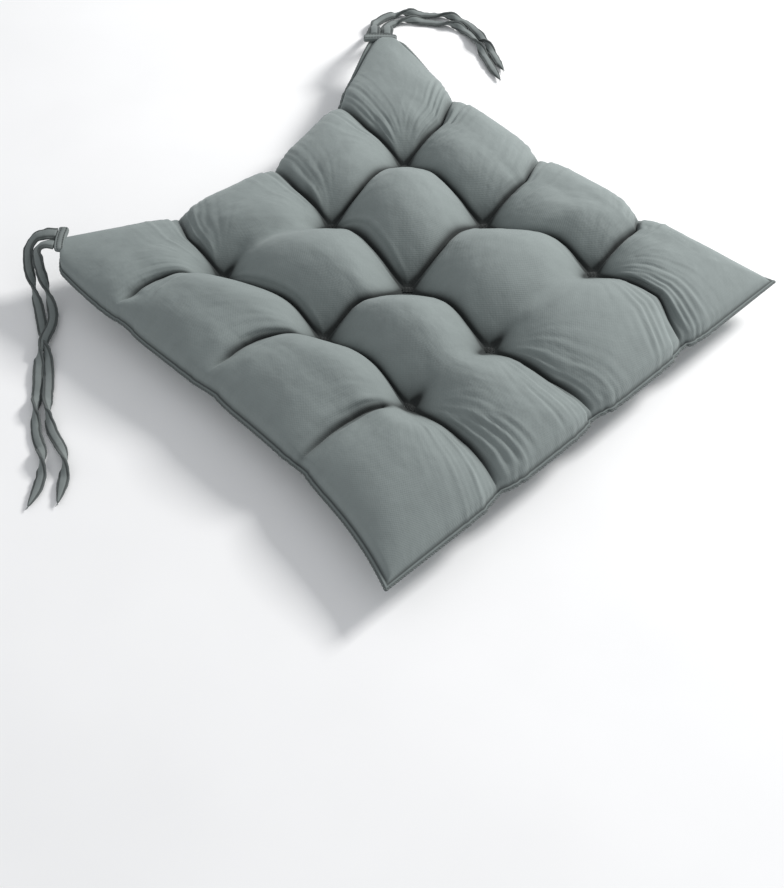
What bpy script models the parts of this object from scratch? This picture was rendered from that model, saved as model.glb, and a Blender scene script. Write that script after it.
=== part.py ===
"""Tufted square chair seat pad, built as the pieces that it is sewn from.

Metres, +Z up, underside on z = 0, back of the pad (the side with the ties) at +Y.
The pad is a knife-edge cushion: two fabric panels joined by a seam all round, a
fibre fill, nine tufts tied through the whole thickness, and a tie at each back corner.
"""
import math

import bmesh
import bpy
from mathutils import Matrix, Vector

MM = 0.001

# Driving dimensions
HALF_SIZE = 205 * MM                # nominal 410 mm (16 inch) square
TUFT_PITCH = 97 * MM
SEAM_HEIGHT = 26 * MM               # of the side seams above the floor
EAR_LIFT = {-1: 21 * MM, 1: 14 * MM}    # the left and right back corners curl up above that
EAR_POWER = 2.5                     # how suddenly they do
MIDDLE_SINK = 6 * MM                # the tufts' own middle plane lies below the seams
TOP_CROWN = 50 * MM                 # rise of the plump cells above the middle plane
BOTTOM_CROWN = 26 * MM              # their depth below it, before the floor flattens them
CROWN_LOSS = {"left": 0.0, "right": 0.18, "front": 0.16, "back": 0.19}   # in the outer cells
CROWN_LOSS_START = 0.37             # in panel coordinates, and the stretch that it grows over
CROWN_LOSS_STRETCH = 0.35
TUFT_RISE = 3 * MM                  # of each face at a tuft
PANEL_THICKNESS = 0.9 * MM
SEAM_GAP = 0.3 * MM                 # between the two panels along the seam
FILL_GAP = 0.6 * MM                 # between the fill and the inside of a panel

# The outline: a square drawn out of true by its filling
CORNERS = {
    (-1, -1): (-210 * MM, -212 * MM),
    (1, -1): (210 * MM, -223 * MM),
    (1, 1): (206 * MM, 231 * MM),
    (-1, 1): (-200 * MM, 208 * MM),
}
SIDE_PULL = {"left": 14 * MM, "right": 23 * MM, "front": 0.0, "back": 62 * MM}
PULL_POWER = {"left": 2.4, "right": 3.2, "front": 2.0, "back": 1.9}
PULL_SKEW = {"left": -0.95, "right": 0.0, "front": 0.0, "back": -0.1}
NOTCH_DEPTH = 5 * MM                # where a crease meets a side
NOTCH_WIDTH = 12 * MM
BLUNT_CUT = 34 * MM                 # the back corners are cut across, for the ties

# Where the nine tufts are tied: a square pattern, drawn by hand and so not quite true
TUFTS = {
    (-1, 1): (-106 * MM, 86 * MM), (0, 1): (-4 * MM, 70 * MM), (1, 1): (91 * MM, 81 * MM),
    (-1, 0): (-92 * MM, -18 * MM), (0, 0): (-8 * MM, -25 * MM), (1, 0): (88 * MM, -17 * MM),
    (-1, -1): (-90 * MM, -111 * MM), (0, -1): (-7 * MM, -114 * MM), (1, -1): (111 * MM, -116 * MM),
}
TUFT_REACH = 60 * MM                # how far a tuft off its square place draws the panel along
ROW_NAMES = {1: "back", 0: "middle", -1: "front"}
COLUMN_NAMES = {-1: "left", 0: "centre", 1: "right"}

# The cells that the tufts divide each face into
CREASE_HALF_WIDTH = 2 * MM          # flat bottom of a crease
CELL_REACH = 48.5 * MM              # from a crease to the middle of its cells
CREASE_SHARE = 0.5                  # height of a crease between two tufts, of the crown
DIMPLE_FLAT = 12 * MM               # radius that a tack presses flat
DIMPLE_RADIUS = 24 * MM

# The tuft thread: a bundle through the pad with a flat tack on each face
STEM_RADIUS = 1.2 * MM
STEM_CLEARANCE = 0.35 * MM
TACK_LENGTH = 13 * MM
TACK_WIDTH = 6 * MM
TACK_THICKNESS = 1.8 * MM
TACK_GAP = 0.3 * MM
TUFT_SIDES = 10
HOLE_TURN = math.radians(17)        # keeps the holes' corners off the panels' grid

# The seams, and the ties with the strips that hold them to the back corners
SEAM_THREAD_RADIUS = 0.8 * MM
SEAM_THREAD_OFFSET = 1.2 * MM       # from the panels' edge to the thread's centre
SEAM_END_TRIM = 3 * MM
CLOSING_HALF_SPAN = 3               # grid lines each side of the middle of the back
BINDING_LENGTH = 23 * MM
BINDING_DEPTH = 4.5 * MM
BINDING_THICKNESS = 4 * MM
BINDING_GAP = 0.35 * MM
TIE_RADIUS = 2 * MM
TIE_POINT_SPACING = 9 * MM

# Routes of the four tie tails in millimetres, from the strip to the tip
TIE_ROUTES = {
    "tie_left_outer": [
        (-182.5, 199, 47), (-188, 204.5, 47), (-196, 210.5, 44), (-204.5, 211.5, 35),
        (-211.5, 205, 23), (-217, 194.5, 11.5), (-223, 182, 4.5), (-230, 168.5, 2.2),
        (-237, 154.5, 2.2), (-244, 140.5, 2.2), (-252, 126.5, 2.2), (-261, 113, 2.2),
        (-271, 99.5, 2.2), (-280, 85.5, 2.2), (-287, 70, 2.2), (-291, 53, 2.2),
        (-298, 37.5, 2.2), (-309, 25.5, 2.2), (-321, 14, 2.2),
    ],
    "tie_left_inner": [
        (-191, 190.5, 47), (-196.5, 196, 47), (-202.5, 198.5, 42), (-207, 194, 31.5),
        (-210.5, 185.5, 19.5), (-214.5, 175.5, 9.5), (-220.5, 165.5, 4.3), (-229, 156.5, 5),
        (-239.5, 148.5, 6.9), (-250, 140, 5.2), (-259.5, 129, 2.6), (-268.5, 116.5, 2.2),
        (-278.5, 103.5, 2.2), (-288.5, 90, 2.2), (-297.5, 75, 2.2), (-304, 59, 2.2),
        (-313, 45.5, 2.2), (-325, 34.5, 2.2), (-338, 26.5, 2.2),
    ],
    "tie_right_outer": [
        (188.5, 222, 40), (194, 227.5, 40), (202, 236.5, 34.5), (209.5, 247.5, 21),
        (217.5, 258.5, 9), (227.5, 268, 3), (240.5, 273.5, 2.2), (254.5, 273.5, 2.2),
        (267.5, 267, 2.2), (279.5, 255.5, 2.2), (291, 241.5, 2.2), (300.5, 226, 2.2),
        (304, 208, 2.2), (300, 189.5, 2.2), (292.5, 171, 2.2), (284.5, 153, 2.2),
        (276.5, 135, 2.2),
    ],
    "tie_right_inner": [
        (197, 213.5, 40), (202.5, 219, 40), (210.5, 228, 34.5), (218, 238.5, 21),
        (225.5, 249, 9), (234.5, 257.5, 3), (245, 261.5, 2.2), (256, 260, 2.2),
        (266.5, 252, 2.2), (277, 240, 2.2), (286.5, 226.5, 2.2), (293, 212, 2.2),
        (293, 196.5, 2.2), (287, 180.5, 2.2), (279, 162.5, 2.2), (271, 145, 2.2),
        (263, 127, 2.2),
    ],
}

PITCH = TUFT_PITCH / HALF_SIZE      # the tuft pitch in the panel's own -1..1 coordinates
INNER_OFFSETS_MM = (8, 24, 48.5, 73, 89, 97)
OUTER_OFFSETS_MM = (8, 26, 48, 70, 90, 108)


def clear_scene():
    for old in list(bpy.data.objects):
        bpy.data.objects.remove(old, do_unlink=True)


def make_material(name, color, roughness):
    material = bpy.data.materials.new(name)
    material.use_nodes = True
    shader = material.node_tree.nodes["Principled BSDF"]
    shader.inputs["Base Color"].default_value = (*color, 1.0)
    shader.inputs["Roughness"].default_value = roughness
    shader.inputs["Metallic"].default_value = 0.0
    return material


def mesh_object(name, mesh, material):
    obj = bpy.data.objects.new(name, mesh)
    bpy.context.scene.collection.objects.link(obj)
    if material:
        mesh.materials.append(material)
    return obj


# ---- the pad's shape ----

def grid_lines():
    """Panel coordinates of the grid: close together at the tufts, wide apart between."""
    half = [0.0]
    half += [offset * MM for offset in INNER_OFFSETS_MM]
    half += [TUFT_PITCH + offset * MM for offset in OUTER_OFFSETS_MM]
    positive = [value / HALF_SIZE for value in half]
    return [-value for value in reversed(positive[1:])] + positive


def side_pull(side, along):
    """How far a side is drawn in at a place along it, notched at the creases."""
    notches = sum(
        math.exp(-(((along - line * PITCH) * HALF_SIZE / NOTCH_WIDTH) ** 2)) for line in (-1, 0, 1)
    )
    bow = (1 - abs(along) ** PULL_POWER[side]) * (1 + PULL_SKEW[side] * along)
    return SIDE_PULL[side] * bow + NOTCH_DEPTH * notches


def square_point(u, v):
    """The outline's four corners blended over the panel, with the sides drawn in."""
    x = 0.0
    y = 0.0
    for (corner_u, corner_v), (corner_x, corner_y) in CORNERS.items():
        weight = (1 + corner_u * u) * (1 + corner_v * v) / 4
        x += weight * corner_x
        y += weight * corner_y
    side_u = "right" if u > 0 else "left"
    side_v = "back" if v > 0 else "front"
    x -= u**3 * side_pull(side_u, v)
    y -= v**3 * side_pull(side_v, u)
    return x, y


def cut_back_corner(x, y, side):
    """Moves a point that lies beyond a blunt back corner onto the cut."""
    corner_x, corner_y = CORNERS[(side, 1)]
    beyond = BLUNT_CUT - (side * (corner_x - x) + (corner_y - y))
    if beyond > 0:
        x -= side * beyond / 2
        y -= beyond / 2
    return x, y


def panel_point(u, v):
    """Where a panel coordinate lies on the pad, seen from above."""
    x, y = square_point(u, v)
    shift_x = 0.0
    shift_y = 0.0
    whole = 0.0
    for (column, row), (tuft_x, tuft_y) in TUFTS.items():
        home_x, home_y = square_point(column * PITCH, row * PITCH)
        apart = (u - column * PITCH) ** 2 + (v - row * PITCH) ** 2
        share = math.exp(-apart * (HALF_SIZE / TUFT_REACH) ** 2) / (apart + 1e-6)
        shift_x += (tuft_x - home_x) * share
        shift_y += (tuft_y - home_y) * share
        whole += share
    inside = min(1.0, 2.4 * (1 - u * u), 2.4 * (1 - v * v))
    side = 1 if u > 0 else -1
    return cut_back_corner(x + inside * shift_x / whole, y + inside * shift_y / whole, side)


def nearest_line_distance(coordinate):
    return min(abs(coordinate - line * PITCH) for line in (-1, 0, 1)) * HALF_SIZE


def edge_fullness(u, v):
    """One over most of the pad, falling to nothing at the seams."""
    return max(0.0, (1 - u**4) * (1 - v**4))


def swell(distance):
    """How full the pad is that far from a crease: steep beside it, level in the middle of a cell."""
    left = 1 - min(1.0, max(0.0, (distance - CREASE_HALF_WIDTH) / CELL_REACH))
    return math.sqrt(1 - left * left)


def outer_share(coordinate):
    """None in the middle cells, rising to one in the outer cells on the positive side."""
    grown = min(1.0, max(0.0, (coordinate - CROWN_LOSS_START) / CROWN_LOSS_STRETCH))
    return grown * grown * (3 - 2 * grown)


def crown_share(u, v):
    """The cells along some sides hold less filling and stand lower."""
    across = 1 - CROWN_LOSS["right"] * outer_share(u) - CROWN_LOSS["left"] * outer_share(-u)
    return across * (1 - CROWN_LOSS["back"] * outer_share(v) - CROWN_LOSS["front"] * outer_share(-v))


def face_rise(u, v, crown):
    """Height of a face above (or depth below) the middle plane."""
    across_u = swell(nearest_line_distance(u))
    across_v = swell(nearest_line_distance(v))
    either = across_u + across_v - across_u * across_v
    from_tuft = math.hypot(nearest_line_distance(u), nearest_line_distance(v))
    opening = min(1.0, max(0.0, (from_tuft - DIMPLE_FLAT) / (DIMPLE_RADIUS - DIMPLE_FLAT)))
    plump = opening * (CREASE_SHARE * either + (1 - CREASE_SHARE) * across_u * across_v)
    full = crown * crown_share(u, v)
    return math.sqrt(edge_fullness(u, v)) * (TUFT_RISE + (full - TUFT_RISE) * plump)


def middle_height(u, v):
    """The plane where the two panels would meet; at the edge, the height of the seam."""
    ear = EAR_LIFT[1 if u > 0 else -1] * (abs(u) * max(0.0, v)) ** EAR_POWER
    return SEAM_HEIGHT + ear - MIDDLE_SINK * edge_fullness(u, v)


def top_height(u, v):
    return middle_height(u, v) + SEAM_GAP / 2 + PANEL_THICKNESS + face_rise(u, v, TOP_CROWN)


def bottom_height(u, v):
    """The lower face, flattened where its crowns rest on the floor."""
    depth = SEAM_GAP / 2 + PANEL_THICKNESS + face_rise(u, v, BOTTOM_CROWN)
    return max(0.0, middle_height(u, v) - depth)


def closed_sheet(name, lines, upper, lower, material):
    """A closed body between two height functions over the panel's grid."""
    bm = bmesh.new()
    rows = {}
    for level, height in (("upper", upper), ("lower", lower)):
        for i, u in enumerate(lines):
            for j, v in enumerate(lines):
                x, y = panel_point(u, v)
                rows[level, i, j] = bm.verts.new((x, y, height(u, v)))
    last = len(lines) - 1
    for i in range(last):
        for j in range(last):
            for triangle in cell_triangles(i, j, last / 2):
                bm.faces.new([rows[("upper", *corner)] for corner in triangle])
                bm.faces.new([rows[("lower", *corner)] for corner in reversed(triangle)])
    for ring in outline_pairs(last):
        start, end = ring
        bm.faces.new([
            rows[("lower", *start)], rows[("lower", *end)],
            rows[("upper", *end)], rows[("upper", *start)],
        ])
    mesh = bpy.data.meshes.new(name)
    bm.to_mesh(mesh)
    bm.free()
    mesh.shade_smooth()
    return mesh_object(name, mesh, material)


def cell_triangles(i, j, middle):
    """A grid cell split along the diagonal that points to the pad's nearest corner."""
    cell = [(i, j), (i + 1, j), (i + 1, j + 1), (i, j + 1)]
    if (i < middle) != (j < middle):
        cell = cell[1:] + cell[:1]
    return (cell[:3], (cell[2], cell[3], cell[0]))


def outline_pairs(last):
    """Neighbouring grid points round the outline, counter-clockwise from above."""
    path = [(i, 0) for i in range(last)]
    path += [(last, j) for j in range(last)]
    path += [(i, last) for i in range(last, 0, -1)]
    path += [(0, j) for j in range(last, 0, -1)]
    return zip(path, path[1:] + path[:1])


def cut_tuft_holes(obj, cutter):
    holes = obj.modifiers.new("tuft_holes", "BOOLEAN")
    holes.operation = "DIFFERENCE"
    holes.solver = "EXACT"
    holes.object = cutter


def tuft_hole_cutter():
    """Nine pins, one through each tuft's place; a guide that is not part of the pad."""
    bm = bmesh.new()
    for column, row in TUFTS:
        x, y = panel_point(column * PITCH, row * PITCH)
        made = bmesh.ops.create_cone(
            bm, cap_ends=True, segments=8, radius1=STEM_RADIUS + STEM_CLEARANCE,
            radius2=STEM_RADIUS + STEM_CLEARANCE, depth=4 * SEAM_HEIGHT,
            matrix=Matrix.Rotation(HOLE_TURN, 4, "Z"),
        )
        bmesh.ops.translate(bm, verts=made["verts"], vec=(x, y, SEAM_HEIGHT))
    mesh = bpy.data.meshes.new("tuft_hole_cutter")
    bm.to_mesh(mesh)
    bm.free()
    cutter = mesh_object("tuft_hole_cutter", mesh, None)
    cutter.hide_render = True
    cutter.display_type = "WIRE"
    return cutter


def build_cover_and_fill(fabric, fibre):
    lines = grid_lines()
    cutter = tuft_hole_cutter()

    def top_inside(u, v):
        return top_height(u, v) - PANEL_THICKNESS

    def bottom_inside(u, v):
        return bottom_height(u, v) + PANEL_THICKNESS

    def fill_top(u, v):
        return top_inside(u, v) - FILL_GAP

    def fill_bottom(u, v):
        return bottom_inside(u, v) + FILL_GAP

    top = closed_sheet("top_panel", lines, top_height, top_inside, fabric)
    bottom = closed_sheet("bottom_panel", lines, bottom_inside, bottom_height, fabric)
    fill = closed_sheet("fibre_fill", lines[1:-1], fill_top, fill_bottom, fibre)
    for obj in (top, bottom, fill):
        cut_tuft_holes(obj, cutter)


# ---- tufts ----

def oval_ring(bm, x, y, z, length, width):
    ring = []
    for step in range(TUFT_SIDES):
        angle = 2 * math.pi * step / TUFT_SIDES
        ring.append(bm.verts.new((x + length / 2 * math.cos(angle), y + width / 2 * math.sin(angle), z)))
    return ring


def tuft_profile(low, high):
    """Height, length and width of each ring, from the lower tack to the upper one."""
    stem = 2 * STEM_RADIUS
    half = [
        (TACK_THICKNESS, 0.72 * TACK_LENGTH, 0.6 * TACK_WIDTH),
        (0.6 * TACK_THICKNESS, TACK_LENGTH, TACK_WIDTH),
        (0.0, 0.85 * TACK_LENGTH, 0.75 * TACK_WIDTH),
        (0.0, stem, stem),
    ]
    lower = [(low - outward, length, width) for outward, length, width in half]
    upper = [(high + outward, length, width) for outward, length, width in reversed(half)]
    return lower + upper


def build_tuft(column, row, thread):
    u, v = column * PITCH, row * PITCH
    x, y = panel_point(u, v)
    profile = tuft_profile(bottom_height(u, v) - TACK_GAP, top_height(u, v) + TACK_GAP)
    bm = bmesh.new()
    rings = [oval_ring(bm, x, y, z, length, width) for z, length, width in profile]
    bm.faces.new(list(reversed(rings[0])))
    bm.faces.new(rings[-1])
    for lower, upper in zip(rings, rings[1:]):
        for step in range(TUFT_SIDES):
            after = (step + 1) % TUFT_SIDES
            bm.faces.new([lower[step], lower[after], upper[after], upper[step]])
    name = f"tuft_thread_{ROW_NAMES[row]}_{COLUMN_NAMES[column]}"
    mesh = bpy.data.meshes.new(name)
    bm.to_mesh(mesh)
    bm.free()
    mesh.shade_smooth()
    mesh.set_sharp_from_angle(angle=math.radians(40))
    mesh_object(name, mesh, thread)


# ---- seams ----

def side_outline(side):
    """The panels' edge along one side, left to right or front to back, in metres."""
    lines = grid_lines()
    places = {
        "left": [(-1, v) for v in lines], "right": [(1, v) for v in lines],
        "front": [(u, -1) for u in lines], "back": [(u, 1) for u in lines],
    }
    points = [Vector((*panel_point(u, v), middle_height(u, v))) for u, v in places[side]]
    if side == "back":
        return points[1:-1]
    if side in ("left", "right"):
        return points[:-1]
    return points


def moved_outwards(points, side):
    """The polyline shifted off the panels' edge by the thread's offset."""
    turn = {"left": -1, "right": 1, "front": 1, "back": -1}[side]
    moved = []
    for index, point in enumerate(points):
        before = points[max(index - 1, 0)]
        after = points[min(index + 1, len(points) - 1)]
        direction = (after - before).normalized()
        moved.append(point + turn * SEAM_THREAD_OFFSET * Vector((direction.y, -direction.x, 0)))
    return moved


def trimmed(points, start_trim, end_trim):
    """The polyline with its first and last segments shortened."""
    points = list(points)
    first = (points[1] - points[0]).normalized()
    last = (points[-2] - points[-1]).normalized()
    points[0] = points[0] + first * start_trim
    points[-1] = points[-1] + last * end_trim
    return points


def poly_tube(name, points, radius, sides_resolution, material):
    curve = bpy.data.curves.new(name, "CURVE")
    curve.dimensions = "3D"
    curve.bevel_depth = radius
    curve.bevel_resolution = sides_resolution
    curve.use_fill_caps = True
    spline = curve.splines.new("POLY")
    spline.points.add(len(points) - 1)
    for slot, point in zip(spline.points, points):
        slot.co = (*point, 1.0)
    curve.materials.append(material)
    obj = bpy.data.objects.new(name, curve)
    bpy.context.scene.collection.objects.link(obj)
    return obj


def build_seams(thread):
    for side in ("left", "right", "front"):
        points = trimmed(moved_outwards(side_outline(side), side), SEAM_END_TRIM, SEAM_END_TRIM)
        poly_tube(f"seam_thread_{side}", points, SEAM_THREAD_RADIUS, 1, thread)
    back = moved_outwards(side_outline("back"), "back")
    middle = len(back) // 2
    start = middle - CLOSING_HALF_SPAN
    end = middle + CLOSING_HALF_SPAN
    runs = {
        "seam_thread_back_left": back[:start + 1],
        "closing_stitch": back[start:end + 1],
        "seam_thread_back_right": back[end:],
    }
    for name, run in runs.items():
        poly_tube(name, trimmed(run, SEAM_END_TRIM / 2, SEAM_END_TRIM / 2), SEAM_THREAD_RADIUS, 1, thread)


# ---- ties ----

def cut_centre(side):
    corner_x, corner_y = CORNERS[(side, 1)]
    height = SEAM_HEIGHT + EAR_LIFT[side]
    return Vector((corner_x - side * BLUNT_CUT / 2, corner_y - BLUNT_CUT / 2, height))


def build_binding(name, side, tape):
    """The folded middle of a tie, sewn flat along the blunt corner."""
    outward = Vector((side, 1, 0)).normalized()
    centre = cut_centre(side) + outward * (BINDING_GAP + BINDING_DEPTH / 2)
    bm = bmesh.new()
    bmesh.ops.create_cube(bm, size=1.0)
    bmesh.ops.scale(bm, verts=bm.verts, vec=(BINDING_LENGTH, BINDING_DEPTH, BINDING_THICKNESS))
    mesh = bpy.data.meshes.new(name)
    bm.to_mesh(mesh)
    bm.free()
    obj = mesh_object(name, mesh, tape)
    obj.location = centre
    obj.rotation_euler = (0, 0, -side * math.radians(45))
    bevel = obj.modifiers.new("soft_edges", "BEVEL")
    bevel.width = 1.2 * MM
    bevel.segments = 2
    return obj


def catmull_rom(before, start, end, after, share):
    square = share * share
    cube = square * share
    return 0.5 * (
        2 * start + (end - before) * share + (2 * before - 5 * start + 4 * end - after) * square
        + (3 * start - before - 3 * end + after) * cube
    )


def smooth_route(route_mm, spacing):
    """Evenly spaced points on a smooth curve through the route's own points."""
    route = [Vector(point) * MM for point in route_mm]
    padded = [2 * route[0] - route[1]] + route + [2 * route[-1] - route[-2]]
    fine = []
    steps = 16
    for index in range(1, len(padded) - 2):
        for step in range(steps):
            fine.append(catmull_rom(*padded[index - 1:index + 3], step / steps))
    fine.append(route[-1])
    lengths = [0.0]
    for start, end in zip(fine, fine[1:]):
        lengths.append(lengths[-1] + (end - start).length)
    count = round(lengths[-1] / spacing)
    points = []
    index = 0
    for step in range(count + 1):
        wanted = lengths[-1] * step / count
        while index < len(fine) - 2 and lengths[index + 1] < wanted:
            index += 1
        share = (wanted - lengths[index]) / (lengths[index + 1] - lengths[index])
        points.append(fine[index].lerp(fine[index + 1], share))
    return points


def build_ties(tape):
    build_binding("tie_strip_left", -1, tape)
    build_binding("tie_strip_right", 1, tape)
    for name, route in TIE_ROUTES.items():
        poly_tube(name, smooth_route(route, TIE_POINT_SPACING), TIE_RADIUS, 2, tape)


def main():
    clear_scene()
    fabric = make_material("grey_brushed_fabric", (0.235, 0.270, 0.262), 0.9)
    fibre = make_material("white_polyester_fibre", (0.85, 0.85, 0.83), 0.95)
    thread = make_material("grey_thread", (0.130, 0.150, 0.146), 0.8)
    tape = make_material("grey_tie_tape", (0.27, 0.30, 0.29), 0.88)
    build_cover_and_fill(fabric, fibre)
    for column, row in TUFTS:
        build_tuft(column, row, thread)
    build_seams(thread)
    build_ties(tape)


main()
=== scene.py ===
"""Looks of the chair seat pad: a tufted, knife-edged cushion with four tapes to tie it to a chair.

The cover is one closed skin that Blender's Cloth inflates between its nine tufts. It is then read onto
a finer grid, pleated where the fabric is gathered, and split at the seam into the two panels. Lengths are
in metres. On the pad's grid, u runs from -1 at the left to 1 at the right, and v from -1 at the front to 1
at the back.
"""

import math

import bpy
import numpy as np
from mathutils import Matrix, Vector, noise


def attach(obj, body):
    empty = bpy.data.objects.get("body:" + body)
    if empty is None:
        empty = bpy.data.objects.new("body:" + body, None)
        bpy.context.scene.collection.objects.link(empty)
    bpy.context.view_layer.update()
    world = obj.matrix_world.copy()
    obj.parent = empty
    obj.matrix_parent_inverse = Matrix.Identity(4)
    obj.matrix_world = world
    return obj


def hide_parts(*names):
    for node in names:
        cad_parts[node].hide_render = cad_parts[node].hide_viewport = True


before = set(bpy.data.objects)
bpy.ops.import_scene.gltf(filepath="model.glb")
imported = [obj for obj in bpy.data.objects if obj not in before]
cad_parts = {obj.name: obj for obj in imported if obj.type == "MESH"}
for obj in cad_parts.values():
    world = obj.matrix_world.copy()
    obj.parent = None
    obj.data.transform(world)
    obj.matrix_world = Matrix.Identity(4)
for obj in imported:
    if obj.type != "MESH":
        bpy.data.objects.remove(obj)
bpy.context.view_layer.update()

MM = 0.001

# The cover's plan. The tuft lines lie at 0 and at PITCH to either side.
HALF_SIZE = 205 * MM
PITCH = 97 / 205
CORNERS = {
    (-1, -1): (-210 * MM, -212 * MM),
    (1, -1): (210 * MM, -223 * MM),
    (1, 1): (206 * MM, 231 * MM),
    (-1, 1): (-200 * MM, 208 * MM),
}
# How far each side is drawn in between its corners, how blunt that bow is and how it leans to one end,
# and its notches where the creases meet it.
SIDE_PULL = {"left": 14 * MM, "right": 23 * MM, "front": 0.0, "back": 62 * MM}
PULL_POWER = {"left": 2.4, "right": 3.2, "front": 2.0, "back": 1.9}
PULL_SKEW = {"left": -1.15, "right": 0.0, "front": 0.0, "back": -0.1}
NOTCH_DEPTH = {"left": 2 * MM, "right": 5 * MM, "front": 4 * MM, "back": 5 * MM}
NOTCH_WIDTH = 12 * MM
# The back corners end blunt: what is cut off along the diagonal, and where the drawing in starts. Over
# that reach their tips are spread by a share of their width. The key is -1 for left, 1 for right.
BLUNT_CUT = 34 * MM
BLUNT_START = 40 * MM
BLUNT_POWER = BLUNT_START / (BLUNT_START - BLUNT_CUT)
TIP_SPREAD = {-1: 0.08, 1: 0.6}
SPREAD_REACH = 75 * MM
# Where each tuft goes through the pad, by (column, row), and how far round it bends the tuft lines.
TUFTS = {
    (-1, 1): (-106 * MM, 86 * MM),
    (0, 1): (-4 * MM, 70 * MM),
    (1, 1): (91 * MM, 81 * MM),
    (-1, 0): (-92 * MM, -18 * MM),
    (0, 0): (-8 * MM, -25 * MM),
    (1, 0): (88 * MM, -17 * MM),
    (-1, -1): (-90 * MM, -111 * MM),
    (0, -1): (-7 * MM, -114 * MM),
    (1, -1): (111 * MM, -116 * MM),
}
TUFT_REACH = 60 * MM
# How far the creases bow towards the back on their way to the left side.
LEFT_LEAN = 0.11

# Heights: of the seam, how far the back corners curl up from it, and how far the pad's middle sinks.
SEAM_HEIGHT = 26 * MM
EAR_LIFT = {-1: 21 * MM, 1: 14 * MM}
EAR_POWER = 2.5
MIDDLE_SINK = 6 * MM
# How full the cells are above and below, and what the cells along each side and in the back left lack.
TOP_CROWN = 52 * MM
BOTTOM_CROWN = 26 * MM
CROWN_LOSS = {"left": 0.0, "right": 0.18, "front": 0.16, "back": 0.19}
CORNER_LOSS = 0.24
# A crease: its rise, its width, and how much of the cells' fullness it keeps between two tufts.
CREASE_RISE = 3 * MM
CREASE_HALF_WIDTH = 0.5 * MM
CREASE_SHARE = 0.45
CELL_HALF = 48.5 * MM
CELL_POWER = 2.8
# Each tuft draws the fabric into a funnel, and grips a small disc of it at these two heights.
FUNNEL_RADIUS = 50 * MM
FUNNEL_POWER = 1.3
TUFT_HOLD = 5.5 * MM
TUFT_TOP = 24.5 * MM
TUFT_BOTTOM = 16.5 * MM
# There is more fabric than width: this much more between the tufts, and outside them.
INNER_EASE = 1.14
OUTER_EASE = 1.07

# Where the fabric forms a soft valley and not a sharp crease: (direction of the crease, which tuft line,
# the middle of the stretch along it and half its length, in pitches, and how soft it is).
SOFT_CREASES = [
    ("row", -1, -0.5, 0.5, 1.0), ("row", -1, 0.5, 0.5, 1.0), ("row", 1, -0.5, 0.5, 1.0),
    ("row", -1, -1.16, 0.18, 0.3), ("row", 0, -1.16, 0.16, 0.3), ("row", 1, -1.18, 0.2, 0.4),
]
SOFT_RADIUS = 8 * MM

# Folds in the fabric by (side, tuft line): how far beside the line each ends up, its depth, and where it
# starts and ends going outwards from the last tuft, all in millimetres. It turns off over FOLD_BEND.
FOLD_BEND = 42
FOLDS = {
    ("front", -1): [
        (-7, 0.9, 35, 88), (8, 1.3, 22, 92), (15, 1.7, 28, 104), (24, 1.9, 30, 106), (31, 1.0, 44, 104),
        (40, 0.9, 52, 106),
    ],
    ("front", 0): [
        (-5, 1.3, 18, 92), (-10, 1.5, 20, 100), (-15, 1.4, 26, 106), (-20, 1.4, 24, 102),
        (-26, 1.2, 32, 106), (-33, 0.9, 42, 106), (8, 0.8, 45, 98), (17, 0.8, 55, 104),
    ],
    ("front", 1): [
        (-5, 1.3, 16, 96), (-10, 1.6, 22, 104), (-15, 1.5, 26, 106), (-21, 1.4, 28, 106),
        (-28, 1.1, 36, 106), (-36, 0.8, 46, 106), (6, 1.5, 18, 102), (12, 1.6, 24, 106),
        (18, 1.3, 30, 106), (25, 0.9, 40, 104),
    ],
    ("right", -1): [(5, 0.8, 14, 60), (-6, 1.0, 16, 72), (-12, 0.8, 26, 82)],
    ("right", 0): [(6, 0.7, 22, 60), (-6, 0.6, 22, 50)],
    ("right", 1): [
        (-7, 1.2, 16, 84), (-14, 1.3, 20, 96), (-21, 1.0, 30, 100), (6, 1.6, 12, 96), (13, 1.6, 16, 104),
        (20, 1.3, 24, 104), (28, 0.9, 36, 100),
    ],
    ("back", 1): [
        (-6, 1.4, 14, 80), (-12, 1.1, 18, 84), (-19, 0.9, 26, 70), (6, 1.0, 12, 50), (13, 1.0, 16, 48),
    ],
    ("back", 0): [(-4, 1.6, 18, 96), (-10, 0.8, 28, 80), (6, 0.8, 22, 62)],
    ("back", -1): [
        (6, 1.6, 12, 90), (12, 1.5, 16, 96), (18, 1.2, 22, 84), (25, 0.8, 30, 70), (-5, 0.7, 18, 60),
    ],
    ("left", 1): [(-7, 0.8, 20, 62), (-14, 0.8, 34, 78), (-24, 0.6, 46, 84)],
    ("left", 0): [(6, 1.0, 18, 72), (-6, 1.2, 20, 64), (-12, 1.0, 30, 68)],
    ("left", -1): [(-5, 1.3, 22, 82), (6, 0.8, 22, 72), (-13, 0.7, 32, 72)],
}
# Folds that lie beside a crease between two tufts: (direction of the crease, its tuft line, the middle of
# the stretch along it in pitches, how far beside it and how deep, in millimetres).
INNER_FOLDS = [
    ("column", 0, 0.5, -5, 1.0), ("column", 0, 0.5, 7, 0.8), ("column", 1, -0.5, -6, 1.1),
    ("column", 1, -0.5, -11, 0.8), ("column", 1, 0.5, -5, 0.7), ("column", -1, 0.5, 6, 0.7),
    ("column", -1, -0.5, -6, 0.7), ("row", 0, 0.5, -6, 0.6), ("row", 1, 0.5, -6, 0.6),
]
# How strong the fainter strokes are that fan out from the last tufts of each side.
STROKES = {"front": 0.58 * MM, "right": 0.48 * MM, "back": 0.42 * MM, "left": 0.25 * MM}

# Sewing: a stitch, half the closing stitch on the grid, and how far inside the seam its furrow is.
STITCH = 3.2 * MM
CLOSING_SPAN = 0.2
SEAM_FURROW = 2.6 * MM

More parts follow.
